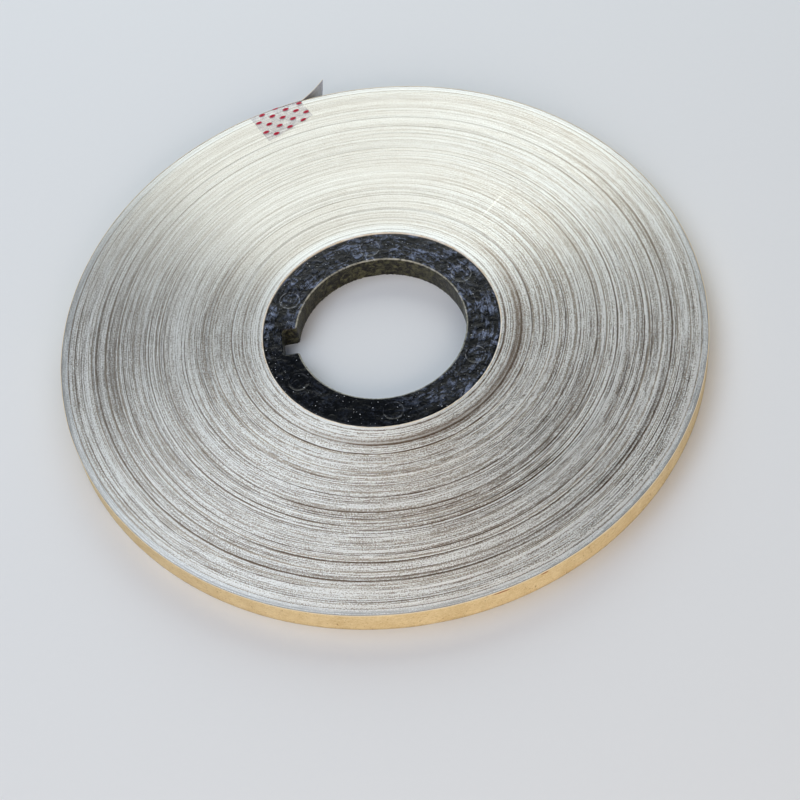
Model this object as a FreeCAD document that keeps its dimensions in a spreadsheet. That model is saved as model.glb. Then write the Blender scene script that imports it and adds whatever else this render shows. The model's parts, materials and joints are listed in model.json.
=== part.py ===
"""Roll of adhesive foil tape: two thin strips, metal foil and its paper release liner,
wound together on a keyed plastic core and closed with a short film sticker.

Frame: millimetres, +Z up along the roll's axis. The origin is on the axis, in the plane
of the underside. The keyway of the core points along -X.
"""
import FreeCAD, Part
import math
import os
import Sketcher

Vector = FreeCAD.Vector
Z_AXIS = Vector(0, 0, 1)
TINY = 1e-6

# The driving dimensions, in millimetres, degrees and pieces.
DIMENSIONS = {
    "roll_radius": 97.0,            # outside of the last turn
    "tape_width": 7.94,             # 5/16 in strip, and so the height of the wound pack
    "foil_gauge": 0.12,             # foil with its adhesive
    "liner_gauge": 0.2,             # kraft release liner
    "core_radius": 35.7,
    "bore_radius": 25.5,            # slides over a 2 in (50.8 mm) arbor
    "core_height": 7.8,             # a little lower than the wound pack
    "core_edge_break": 0.35,
    "keyway_width": 9.0,
    "keyway_floor_radius": 29.8,
    "keyway_rounding": 0.8,
    "pin_mark_radius": 3.0,         # round marks that the mould's ejector pins leave
    "pin_mark_circle": 30.4,
    "pin_mark_depth": 0.15,
    "pin_mark_count": 6,
    "pin_mark_first": 30.0,
    "wrap_gauge": 0.4,              # paper wrapped once round the core before the tape
    "film_gauge": 0.1,              # closure sticker
    "film_glue": 0.03,              # its adhesive, as the gap to the tape
    "sticker_width": 17.4,          # along the rim
    "sticker_angle": 104.4,         # its middle, counter-clockwise from +X
    "sticker_skew": 11.0,           # it is stuck on askew
    "band_bottom": 0.6,             # the sticker starts this high on the rim
    "fold_gap": 0.25,               # left free under the rim's upper edge for the sticker's fold
    "flap_long_side": 12.2,         # how far each side of the flap reaches in from the rim
    "flap_short_side": 7.4,
    "tail_root_angle": 98.8,
    "tail_root_gap": 0.15,
    "tail_length": 10.9,
    "tail_lift": 28.0,              # between the rim's tangent and the tail at its root
    "tail_bend_radius": 41.0,       # the tail curls away from the roll
}


def make_sheet(doc):
    """The spreadsheet whose aliases every sub-part is bound to."""
    sheet = doc.addObject("Spreadsheet::Sheet", "Sizes")
    for row, (alias, value) in enumerate(DIMENSIONS.items(), start=1):
        sheet.set("A%d" % row, alias)
        sheet.set("B%d" % row, str(value))
        sheet.setAlias("B%d" % row, alias)
    doc.recompute()
    return sheet


def bound(text):
    """An expression in which every dimension's name is read from the sheet."""
    words = []
    for word in text.split():
        words.append("Sizes." + word if word in DIMENSIONS else word)
    return " ".join(words)


def size(name):
    """The present value of one dimension."""
    return float(DIMENSIONS[name])


def new_body(doc, label):
    body = doc.addObject("PartDesign::Body", label)
    body.Label = label
    return body


def new_sketch(body, name, height="0"):
    """A sketch on the body's own XY plane, lifted to a height."""
    sketch = body.newObject("Sketcher::SketchObject", name)
    plane = next(f for f in body.Origin.OriginFeatures if f.Role == "XY_Plane")
    sketch.AttachmentSupport = [(plane, "")]
    sketch.MapMode = "FlatFace"
    sketch.setExpression("AttachmentOffset.Base.z", bound(height))
    return sketch


def name_constraint(sketch, constraint, name, expression):
    """Adds a dimensional constraint and binds it to the sheet."""
    index = sketch.addConstraint(constraint)
    sketch.renameConstraint(index, name)
    sketch.setExpression("Constraints." + name, bound(expression))


def centred_circle(sketch, name, radius):
    """A circle on the sketch's origin whose radius is an expression."""
    any_radius = 10.0
    circle = sketch.addGeometry(Part.Circle(Vector(0, 0, 0), Z_AXIS, any_radius))
    sketch.addConstraint(Sketcher.Constraint("Coincident", circle, 3, -1, 1))
    name_constraint(sketch, Sketcher.Constraint("Radius", circle, any_radius), name, radius)


def pad(body, sketch, name, length):
    feature = body.newObject("PartDesign::Pad", name)
    feature.Profile = sketch
    feature.setExpression("Length", bound(length))
    return feature


def pocket(body, sketch, name, depth):
    """A pocket that goes down from its sketch."""
    feature = body.newObject("PartDesign::Pocket", name)
    feature.Profile = sketch
    feature.setExpression("Length", bound(depth))
    return feature


def ring(doc, label, inner, outer, height):
    """A plain ring standing on the underside plane."""
    body = new_body(doc, label)
    sketch = new_sketch(body, label + "_plan")
    centred_circle(sketch, "inner", inner)
    centred_circle(sketch, "outer", outer)
    pad(body, sketch, label + "_height", height)
    return body


def is_vertical(edge):
    first, last = edge.Vertexes[0].Point, edge.Vertexes[-1].Point
    return abs(first.z - last.z) > TINY and math.hypot(first.x - last.x, first.y - last.y) < TINY


def is_upper_rim(edge):
    """True for an edge of the upper face that runs round the axis, outside or at the bore."""
    curve = edge.Curve
    if not isinstance(curve, Part.Circle):
        return False
    round_the_axis = curve.Center.sub(Vector(0, 0, size("core_height"))).Length < TINY
    return round_the_axis and any(abs(curve.Radius - size(r)) < TINY for r in ("core_radius", "bore_radius"))


def edge_names(shape, wanted):
    return ["Edge%d" % (i + 1) for i, edge in enumerate(shape.Edges) if wanted(edge)]


def make_core(doc):
    """Moulded ring with a keyway through it and ejector-pin marks on its upper face."""
    body = new_body(doc, "core")
    plan = new_sketch(body, "core_plan")
    centred_circle(plan, "bore", "bore_radius")
    centred_circle(plan, "outside", "core_radius")
    pad(body, plan, "core_ring", "core_height")
    cut_keyway(doc, body)
    round_keyway(doc, body)
    stamp_pin_marks(doc, body)
    break_edges(doc, body)
    return body


def cut_keyway(doc, body):
    """A slot from the bore to the keyway's floor, down through the whole ring."""
    half, floor, inside = size("keyway_width") / 2, size("keyway_floor_radius"), size("bore_radius") / 2
    sketch = new_sketch(body, "keyway_plan", "core_height")
    outline = ((-floor, half), (-floor, -half), (-inside, -half), (-inside, half))
    corners = [Vector(x, y, 0) for x, y in outline]
    lines = [sketch.addGeometry(Part.LineSegment(corners[i], corners[(i + 1) % 4])) for i in range(4)]
    floor_line, lower_side, inner_line, upper_side = lines
    for i in range(4):
        sketch.addConstraint(Sketcher.Constraint("Coincident", lines[i], 2, lines[(i + 1) % 4], 1))
    sketch.addConstraint(Sketcher.Constraint("Symmetric", floor_line, 1, floor_line, 2, -1))
    sketch.addConstraint(Sketcher.Constraint("Vertical", inner_line))
    for side in (lower_side, upper_side):
        sketch.addConstraint(Sketcher.Constraint("Horizontal", side))
    name_constraint(sketch, Sketcher.Constraint("DistanceY", floor_line, 2, floor_line, 1, 2 * half),
                    "width", "keyway_width")
    name_constraint(sketch, Sketcher.Constraint("DistanceX", floor_line, 1, -1, 1, floor),
                    "floor", "keyway_floor_radius")
    name_constraint(sketch, Sketcher.Constraint("DistanceX", inner_line, 1, -1, 1, inside),
                    "inside", "bore_radius / 2")
    pocket(body, sketch, "keyway", "core_height")
    doc.recompute()


def round_keyway(doc, body):
    """Rounds the keyway's lips and the corners of its floor."""
    rounding = body.newObject("PartDesign::Fillet", "keyway_rounded")
    base = body.getObject("keyway")
    rounding.Base = (base, edge_names(base.Shape, is_vertical_keyway_edge))
    rounding.setExpression("Radius", bound("keyway_rounding"))
    doc.recompute()


def is_vertical_keyway_edge(edge):
    """Vertical edges away from the ring's own seams, which lie on +X."""
    return is_vertical(edge) and edge.Vertexes[0].Point.x < 0


def stamp_pin_marks(doc, body):
    """One shallow round mark, repeated evenly about the axis."""
    sketch = new_sketch(body, "pin_mark_plan", "core_height")
    angle = math.radians(size("pin_mark_first"))
    centre = Vector(math.cos(angle), math.sin(angle), 0) * size("pin_mark_circle")
    circle = sketch.addGeometry(Part.Circle(centre, Z_AXIS, size("pin_mark_radius")))
    name_constraint(sketch, Sketcher.Constraint("Radius", circle, size("pin_mark_radius")),
                    "mark", "pin_mark_radius")
    name_constraint(sketch, Sketcher.Constraint("DistanceX", -1, 1, circle, 3, centre.x),
                    "along", "pin_mark_circle * cos( pin_mark_first * 1deg )")
    name_constraint(sketch, Sketcher.Constraint("DistanceY", -1, 1, circle, 3, centre.y),
                    "across", "pin_mark_circle * sin( pin_mark_first * 1deg )")
    mark = pocket(body, sketch, "pin_mark", "pin_mark_depth")
    doc.recompute()
    marks = body.newObject("PartDesign::PolarPattern", "pin_marks")
    marks.Originals = [mark]
    axis = next(f for f in body.Origin.OriginFeatures if f.Role == "Z_Axis")
    marks.Axis = (axis, [""])
    marks.Angle = 360
    marks.setExpression("Occurrences", bound("pin_mark_count"))
    body.Tip = marks
    doc.recompute()


def break_edges(doc, body):
    """Breaks the upper edges; the underside is the mould's parting face and stays sharp."""
    base = body.getObject("pin_marks")
    broken = body.newObject("PartDesign::Chamfer", "edges_broken")
    broken.Base = (base, edge_names(base.Shape, is_upper_rim))
    broken.setExpression("Size", bound("core_edge_break"))
    body.Tip = broken
    doc.recompute()


def sector(doc, label, inner, outer, height, angle, placement):
    """A piece of a ring, cut from two cylinders: it starts on the local +X axis."""
    shells = []
    for name, radius in (("outer", outer), ("inner", inner)):
        cylinder = doc.addObject("Part::Cylinder", "%s_%s" % (label, name))
        cylinder.setExpression("Radius", bound(radius))
        cylinder.setExpression("Height", bound(height))
        shells.append(cylinder)
    shells[0].setExpression("Angle", bound(angle))
    piece = doc.addObject("Part::Cut", label)
    piece.Label = label
    piece.Base, piece.Tool = shells
    piece.Placement = placement
    return piece


def make_closure_band(doc):
    """The part of the sticker that follows the rim, up to its fold."""
    half_angle = math.degrees(math.asin(size("sticker_width") / 2 / size("roll_radius")))
    start = FreeCAD.Rotation(Z_AXIS, size("sticker_angle") - half_angle)
    placement = FreeCAD.Placement(Vector(0, 0, size("band_bottom")), start)
    spread = "2 * asin( sticker_width / 2 / roll_radius )"
    return sector(doc, "closure_band", "roll_radius + film_glue", "roll_radius + film_glue + film_gauge",
                  "tape_width - band_bottom - fold_gap", spread, placement)


def make_closure_flap(doc):
    """The part of the sticker that is folded over on to the upper face.

    It is drawn with the rim's nearest point on +Y and then turned to its place. Both
    sides lean by the skew, and the free end is cut askew as well.
    """
    body = new_body(doc, "closure_flap")
    sketch = new_sketch(body, "closure_flap_plan", "tape_width + film_glue")
    half, radius = size("sticker_width") / 2, size("roll_radius")
    lean = math.tan(math.radians(size("sticker_skew")))
    rim_height = math.sqrt(radius ** 2 - half ** 2)
    left, right = Vector(-half, rim_height, 0), Vector(half, rim_height, 0)
    left_foot = Vector(-half + size("flap_long_side") * lean, radius - size("flap_long_side"), 0)
    right_foot = Vector(half + size("flap_short_side") * lean, radius - size("flap_short_side"), 0)
    left_side = sketch.addGeometry(Part.LineSegment(left, left_foot))
    cut_end = sketch.addGeometry(Part.LineSegment(left_foot, right_foot))
    right_side = sketch.addGeometry(Part.LineSegment(right_foot, right))
    rim = sketch.addGeometry(Part.Arc(right, Vector(0, radius, 0), left))
    for first, second in ((left_side, cut_end), (cut_end, right_side), (right_side, rim), (rim, left_side)):
        sketch.addConstraint(Sketcher.Constraint("Coincident", first, 2, second, 1))
    sketch.addConstraint(Sketcher.Constraint("Coincident", rim, 3, -1, 1))
    name_constraint(sketch, Sketcher.Constraint("Radius", rim, radius), "rim", "roll_radius")
    for name, point, place, expression in (
        ("left", left, (left_side, 1, -1, 1), "sticker_width / 2"),
        ("right", right, (-1, 1, right_side, 2), "sticker_width / 2"),
        ("left_foot", left_foot, (left_side, 2, -1, 1),
         "sticker_width / 2 - flap_long_side * tan( sticker_skew * 1deg )"),
        ("right_foot", right_foot, (-1, 1, right_side, 1),
         "sticker_width / 2 + flap_short_side * tan( sticker_skew * 1deg )"),
    ):
        name_constraint(sketch, Sketcher.Constraint("DistanceX", *place, abs(point.x)), name, expression)
    for name, point, side, end, reach in (
        ("long_side", left_foot, left_side, 2, "flap_long_side"),
        ("short_side", right_foot, right_side, 1, "flap_short_side"),
    ):
        name_constraint(sketch, Sketcher.Constraint("DistanceY", -1, 1, side, end, point.y),
                        name, "roll_radius - " + reach)
    pad(body, sketch, "closure_flap_film", "film_gauge")
    quarter_turn = 90.0
    turn = FreeCAD.Rotation(Z_AXIS, size("sticker_angle") - quarter_turn)
    body.Placement = FreeCAD.Placement(Vector(0, 0, 0), turn)
    return body


def tail_placement():
    """Where the centre of the tail's curl lies, and how the sector is turned about it.

    The tail leaves the rim clockwise. Its curl centre is on its outer side, so a layer
    that starts further from the roll has a smaller radius about that centre.
    """
    root_angle = math.radians(size("tail_root_angle"))
    root_radius = size("roll_radius") + size("tail_root_gap")
    root = Vector(math.cos(root_angle), math.sin(root_angle), 0) * root_radius
    direction = root_angle - math.pi / 2 + math.radians(size("tail_lift"))
    outward = Vector(-math.sin(direction), math.cos(direction), 0)
    centre = root + outward * size("tail_bend_radius")
    start = math.degrees(math.atan2(-outward.y, -outward.x))
    return FreeCAD.Placement(centre, FreeCAD.Rotation(Z_AXIS, start))


def make_tail(doc):
    """The free end of the two strips: foil on the roll's side, liner outside."""
    arc = "tail_length / tail_bend_radius * 180deg / pi"
    placement = tail_placement()
    foil = sector(doc, "tail_foil", "tail_bend_radius - foil_gauge", "tail_bend_radius",
                  "tape_width", arc, placement)
    liner = sector(doc, "tail_liner", "tail_bend_radius - foil_gauge - liner_gauge",
                   "tail_bend_radius - foil_gauge", "tape_width", arc, placement)
    return [foil, liner]


def make_parts(doc):
    """Every sub-part, from the axis outwards."""
    wrap_outside = "core_radius + wrap_gauge"
    pack_outside = "roll_radius - liner_gauge - foil_gauge"
    foil_outside = "roll_radius - liner_gauge"
    parts = [
        make_core(doc),
        ring(doc, "core_wrap", "core_radius", wrap_outside, "tape_width"),
        ring(doc, "wound_tape", wrap_outside, pack_outside, "tape_width"),
        ring(doc, "outer_foil_turn", pack_outside, foil_outside, "tape_width"),
        ring(doc, "outer_liner_turn", foil_outside, "roll_radius", "tape_width"),
        make_closure_band(doc),
        make_closure_flap(doc),
    ]
    return parts + make_tail(doc)


def check(doc, parts):
    """Stops unless every object recomputed and every sub-part is one valid solid."""
    doc.recompute()
    for item in doc.Objects:
        if "Invalid" in item.State or "Error" in item.State:
            raise RuntimeError("%s failed to recompute: %s" % (item.Name, item.State))
    for part in parts:
        shape = part.Shape
        if shape.isNull() or not shape.isValid() or len(shape.Solids) != 1:
            raise RuntimeError("%s is not one valid solid" % part.Label)


def main():
    doc = FreeCAD.newDocument("foil_tape_roll")
    make_sheet(doc)
    parts = make_parts(doc)
    check(doc, parts)
    os.makedirs("parts", exist_ok=True)
    for part in parts:
        part.Shape.exportStep("parts/%s.step" % part.Label)
        print("%-18s %10.2f mm3  %s" % (part.Label, part.Shape.Volume, part.Shape.BoundBox))


main()
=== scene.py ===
"""Foil tape roll: the visual model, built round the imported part.

Every piece is made in metres in the part's own frame: +Z up along the roll's axis, the origin
on that axis in the plane of the underside, the keyway of the core along -X.
"""
import json
import math

import bmesh
import bpy
import numpy as np
from bpy.props import FloatProperty, FloatVectorProperty, IntProperty, PointerProperty
from mathutils import Matrix, Vector, noise


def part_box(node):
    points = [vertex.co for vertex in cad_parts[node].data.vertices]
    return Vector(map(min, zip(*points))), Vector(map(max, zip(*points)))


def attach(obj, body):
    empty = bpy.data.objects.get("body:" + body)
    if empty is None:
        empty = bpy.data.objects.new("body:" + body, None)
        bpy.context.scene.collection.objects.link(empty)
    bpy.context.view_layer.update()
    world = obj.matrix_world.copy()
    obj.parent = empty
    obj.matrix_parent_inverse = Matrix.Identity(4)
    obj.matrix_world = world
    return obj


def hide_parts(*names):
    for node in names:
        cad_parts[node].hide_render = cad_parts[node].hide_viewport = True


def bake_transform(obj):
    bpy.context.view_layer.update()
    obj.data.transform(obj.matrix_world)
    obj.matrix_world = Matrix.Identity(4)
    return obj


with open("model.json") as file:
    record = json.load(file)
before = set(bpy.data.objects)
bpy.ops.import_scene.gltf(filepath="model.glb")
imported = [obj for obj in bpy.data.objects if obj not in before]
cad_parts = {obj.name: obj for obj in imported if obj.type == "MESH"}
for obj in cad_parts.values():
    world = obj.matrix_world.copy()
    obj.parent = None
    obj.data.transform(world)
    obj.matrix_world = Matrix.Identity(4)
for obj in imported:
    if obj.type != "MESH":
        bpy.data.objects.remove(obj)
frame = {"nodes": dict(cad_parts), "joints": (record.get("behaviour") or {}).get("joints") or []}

bl_info = {
    "name": "Foil Tape Roll",
    "version": (1, 0, 0),
    "blender": (4, 5, 0),
    "location": "3D View > Sidebar > Tape Roll",
    "description": "Builds a roll of foil tape on a moulded core, with its loose end and closure sticker",
    "category": "Add Mesh",
}

MM = 0.001
FULL_TURN = 2 * math.pi
Z_AXIS = Vector((0, 0, 1))
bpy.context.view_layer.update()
JOINTS = {joint["name"]: joint for joint in frame["joints"]}


# ---------------------------------------------------------------- sizes that the frame gives

def outer_radius(node):
    """The radius of a CAD ring that stands round the axis."""
    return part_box(node)[1].x


ROLL_RADIUS = outer_radius("outer_liner_turn")
FOIL_RADIUS = outer_radius("outer_foil_turn")
PACK_RADIUS = outer_radius("wound_tape")
WRAP_RADIUS = outer_radius("core_wrap")
CORE_RADIUS = outer_radius("core")
TAPE_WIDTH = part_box("wound_tape")[1].z
CORE_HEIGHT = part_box("core")[1].z
BORE_RADIUS = min(math.hypot(vert.co.x, vert.co.y) for vert in frame["nodes"]["core"].data.vertices)
LINER_GAUGE = ROLL_RADIUS - FOIL_RADIUS
FOIL_GAUGE = FOIL_RADIUS - PACK_RADIUS
TAIL_PIVOT = Vector(JOINTS["tail_lift"]["pos_m"])
TAIL_ANGLE = math.atan2(TAIL_PIVOT.y, TAIL_PIVOT.x)
FOLD_PIVOT = Vector(JOINTS["closure_peel"]["pos_m"])
STICKER_ANGLE = math.atan2(FOLD_PIVOT.y, FOLD_PIVOT.x)
BAND_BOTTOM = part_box("closure_band")[0].z
PIN_CIRCLE = (BORE_RADIUS + CORE_RADIUS) / 2 - 0.2 * MM
PIN_RADIUS = 3.0 * MM
PIN_SPACING = math.radians(60)
BROWN_RADIUS = WRAP_RADIUS + 5.3 * MM
WELD_DISTANCE = 0.001 * MM

# The pale scuff that runs outwards across the turns, a third of the way from the core to the rim.
SCUFF_RADIUS = CORE_RADIUS + (ROLL_RADIUS - CORE_RADIUS) / 3
SCUFF_SIDE = math.radians(45)
SCUFF_HALF_LENGTH = 7.5 * MM
SCUFF_HALF_WIDTH = 0.35 * MM
SCUFF_STRENGTH = 0.4
SCUFF_COLOUR = "#FFFDF4"

# How the groups of turns stand out of the slit face. The first four are multiples of the relief
# or of the face pitch.
FOOT_SPREAD = 0.3
HIGHEST_RISE = 3.5
NARROWEST_GROUP = 0.4
WIDEST_GROUP = 1.6
RELIEF_SWING = 2.2
LEAST_RELIEF = 0.1
SWING_ROUND = 1.2
SWING_ACROSS = 0.5 * MM
HIGHEST_GROUP = 0.06 * MM
UNDERSIDE_SPREAD = 0.02 * MM

# The core's paper, the strips of the last turn and the closure film.
WRAP_STEPS = 720
WRAP_BEVEL = 0.1 * MM
WRAP_FRAY = 0.12 * MM
STRIP_ROWS = 8
TAIL_STEPS = 44
LIFT_OVER = 0.35 * MM
STRIP_RUFFLE = 0.05 * MM
WAVE_LENGTH = 7 * MM
FRAY_LENGTH = 2.5 * MM
FILM_COLUMNS = 40
FILM_ROWS = 170
FOLD_RADIUS = 0.3 * MM
FILM_LIFT = 0.08 * MM
PUCKER = 0.05 * MM
PUCKER_LENGTH = 2.5 * MM

# Soft lights: azimuth and elevation in degrees, width and height in metres, watts and colour.
LIGHTS = {
    "window": (84, 25, 1.1, 0.8, 8.2, "#FBFFF8"),
    "key": (182, 62, 1.0, 0.8, 4.8, "#EAF3FF"),
    "fill": (-86, 25, 1.2, 0.8, 8.6, "#FFEAD2"),
}
LIGHT_DISTANCE = 1.1
SKY_COLOUR = "#C4D6F2"
SKY_STRENGTH = 0.24
FLOOR_HALF_SIZE = 3.0


# ---------------------------------------------------------------- small helpers

def linear(code):
    """An sRGB hex colour as linear RGBA."""
    channels = [int(code[i:i + 2], 16) / 255 for i in (1, 3, 5)]
    return (*[c / 12.92 if c <= 0.04045 else ((c + 0.055) / 1.055) ** 2.4 for c in channels], 1.0)


def colour(name, description, code):
    """A colour that the user may change, with its default as sRGB hex."""
    return FloatVectorProperty(name=name, description=description, subtype="COLOR", size=4,
                               min=0, max=1, default=linear(code))


def length(name, description, millimetres):
    """A length that the user may change, with its default in millimetres."""
    return FloatProperty(name=name, description=description, subtype="DISTANCE", unit="LENGTH",
                         default=millimetres * MM, precision=5)


def angle(name, description, degrees):
    """An angle that the user may change, with its default in degrees."""
    return FloatProperty(name=name, description=description, subtype="ANGLE", unit="ROTATION",
                         default=math.radians(degrees))


def polar(radius, turn, height=0.0):
    """A point from its distance to the axis, its angle round it and its height."""
    return Vector((radius * math.cos(turn), radius * math.sin(turn), height))


def smooth_step(value):
    """0 below 0, 1 above 1, and a smooth rise between."""
    t = min(max(value, 0.0), 1.0)
    return t * t * (3 - 2 * t)


def finished(bm, name, material, body="roll", replaces=(), smooth=True):
    """Turns a bmesh into a named piece with a material, which rides on a body."""
    mesh = bpy.data.meshes.new(name)
    bm.to_mesh(mesh)
    bm.free()
    mesh.materials.append(material)
    mesh.polygons.foreach_set("use_smooth", [smooth] * len(mesh.polygons))
    piece = bpy.data.objects.new(name, mesh)
    bpy.context.scene.collection.objects.link(piece)
    if body:
        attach(piece, body)
    if replaces:
        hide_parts(*replaces)
    return piece


def spun_ring(profile, steps):
    """A closed ring: a closed outline of (radius, height) points, spun once round the axis."""
    bm = bmesh.new()
    points = [bm.verts.new((radius, 0, height)) for radius, height in profile]
    edges = [bm.edges.new((points[i - 1], points[i])) for i in range(len(points))]
    bmesh.ops.spin(bm, geom=points + edges, cent=(0, 0, 0), axis=Z_AXIS, angle=FULL_TURN,
                   steps=steps, use_merge=True)
    bmesh.ops.recalc_face_normals(bm, faces=bm.faces)
    return bm


def pull(bm, edges, matrix):
    """Extrudes a loop of edges and moves the new loop by a matrix; returns the new loop."""
    made = bmesh.ops.extrude_edge_only(bm, edges=edges)["geom"]
    verts = [item for item in made if isinstance(item, bmesh.types.BMVert)]
    bmesh.ops.transform(bm, matrix=matrix, verts=verts)
    new_edges = {edge for edge in made if isinstance(edge, bmesh.types.BMEdge)}
    moved = set(verts)
    return [edge for edge in new_edges if edge.verts[0] in moved and edge.verts[1] in moved]


def about(point, rotation):
    """A rotation matrix about a point."""
    return Matrix.Translation(point) @ rotation @ Matrix.Translation(-point)


# ---------------------------------------------------------------- materials

def new_material(name):
    """An empty node material and its tree."""
    material = bpy.data.materials.new(name)
    material.use_nodes = True
    material.node_tree.nodes.clear()
    return material, material.node_tree


def add(tree, kind, inputs=(), **settings):
    """Adds one shader node. Inputs are values or sockets, by the name or number of the input."""
    made = tree.nodes.new("ShaderNode" + kind)
    for name, value in settings.items():
        setattr(made, name, value)
    for name, value in dict(inputs).items():
        if isinstance(value, bpy.types.NodeSocket):
            tree.links.new(value, made.inputs[name])
        else:
            made.inputs[name].default_value = value
    return made


def per_mm(millimetres):
    """The scale of a pattern whose features are this large."""
    return 1 / (millimetres * MM)


def stretch(tree, value, low, high, to_low=0.0, to_high=1.0):
    """Maps low..high to another range, clamped."""
    return add(tree, "MapRange", {"Value": value, "From Min": low, "From Max": high,
                                  "To Min": to_low, "To Max": to_high}).outputs["Result"]


def blend_colours(tree, share, first, second):
    """Mixes two colours by a share."""
    return add(tree, "Mix", {0: share, 6: first, 7: second}, data_type="RGBA").outputs[2]


def math_of(tree, operation, *values):
    """One step of arithmetic."""
    return add(tree, "Math", dict(enumerate(values)), operation=operation).outputs[0]


def ring_coordinates(tree):
    """Sockets for the point, the distance to the axis and the direction from it."""
    point = add(tree, "TexCoord").outputs["Object"]
    flat = add(tree, "VectorMath", {0: point, 1: (1, 1, 0)}, operation="MULTIPLY").outputs[0]
    radius = add(tree, "VectorMath", {0: flat}, operation="LENGTH").outputs["Value"]
    direction = add(tree, "VectorMath", {0: flat}, operation="NORMALIZE").outputs[0]
    return point, radius, direction


def facing_side(tree, direction, turn):
    """1 on the side of the roll that faces this angle, -1 on the opposite side."""
    return add(tree, "VectorMath", {0: direction, 1: tuple(polar(1, turn))},
               operation="DOT_PRODUCT").outputs["Value"]


def reach_of(tree, across, along):
    """The length of a flat offset, from its two parts."""
    offset = add(tree, "CombineXYZ", {"X": across, "Y": along}).outputs[0]
    return add(tree, "VectorMath", {0: offset}, operation="LENGTH").outputs["Value"]


def ring_lines(tree, radius, line_mm, seed, detail=1.0):
    """Rings of a real spacing that keep their radius all the way round."""
    depth = math_of(tree, "MULTIPLY_ADD", radius, per_mm(line_mm), seed)
    return add(tree, "TexNoise", {"W": depth, "Scale": 1.0, "Detail": detail, "Roughness": 0.6},
               noise_dimensions="1D").outputs["Fac"]


def ring_noise(tree, direction, distance, along, line_mm, detail=2.0, roughness=0.5, seed=0.0):
    """Noise drawn out along the turns: line_mm wide, and changing along times in about a radian."""
    vector = add(tree, "VectorMath", {0: direction, "Scale": along}, operation="SCALE").outputs[0]
    depth = math_of(tree, "MULTIPLY_ADD", distance, per_mm(line_mm), seed)
    pattern = add(tree, "TexNoise", {"Vector": vector, "W": depth, "Scale": 1.0, "Detail": detail,
                                     "Roughness": roughness}, noise_dimensions="4D")
    return pattern.outputs["Fac"]


def speckle(tree, point, size_mm, detail=2.0, roughness=0.6, distortion=0.0):
    """Plain noise with features of a real size."""
    pattern = add(tree, "TexNoise", {"Vector": point, "Scale": per_mm(size_mm), "Detail": detail,
                                     "Roughness": roughness, "Distortion": distortion})
    return pattern.outputs["Fac"]


def finish_material(tree, inputs):
    """The principled shader and the output."""
    shader = add(tree, "BsdfPrincipled", inputs)
    add(tree, "OutputMaterial", {"Surface": shader.outputs[0]})


def total(tree, *values):
    """The sum of several sockets."""
    result = values[0]
    for value in values[1:]:
        result = math_of(tree, "ADD", result, value)
    return result


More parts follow.
